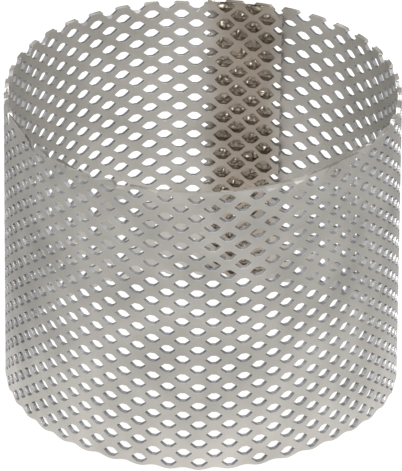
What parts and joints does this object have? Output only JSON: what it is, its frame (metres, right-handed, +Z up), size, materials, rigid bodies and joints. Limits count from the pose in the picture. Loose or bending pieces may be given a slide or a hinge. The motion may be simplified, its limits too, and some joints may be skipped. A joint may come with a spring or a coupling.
{
  "type": "tree guard tube",
  "caption": "Short open-ended tube rolled from expanded steel mesh, with a spot-welded lap seam down one side.",
  "frame": {"origin": "centre of the tube at the plane of its lower rim", "axes": "+Z up along the tube, +Y towards the side with the lapped seam, +X to the right as seen from the front"},
  "size_m": [0.135, 0.135, 0.1085],
  "materials": {
    "mesh_steel": "dull stainless steel with sheared edges",
    "weld_metal": "heat-tinted weld metal, straw to brown"
  },
  "bodies": {
    "root": {"mesh_sheet": "mesh_steel", "weld_line_1": "weld_metal", "weld_line_2": "weld_metal", "weld_line_3": "weld_metal", "weld_line_4": "weld_metal"}
  },
  "joints": []
}
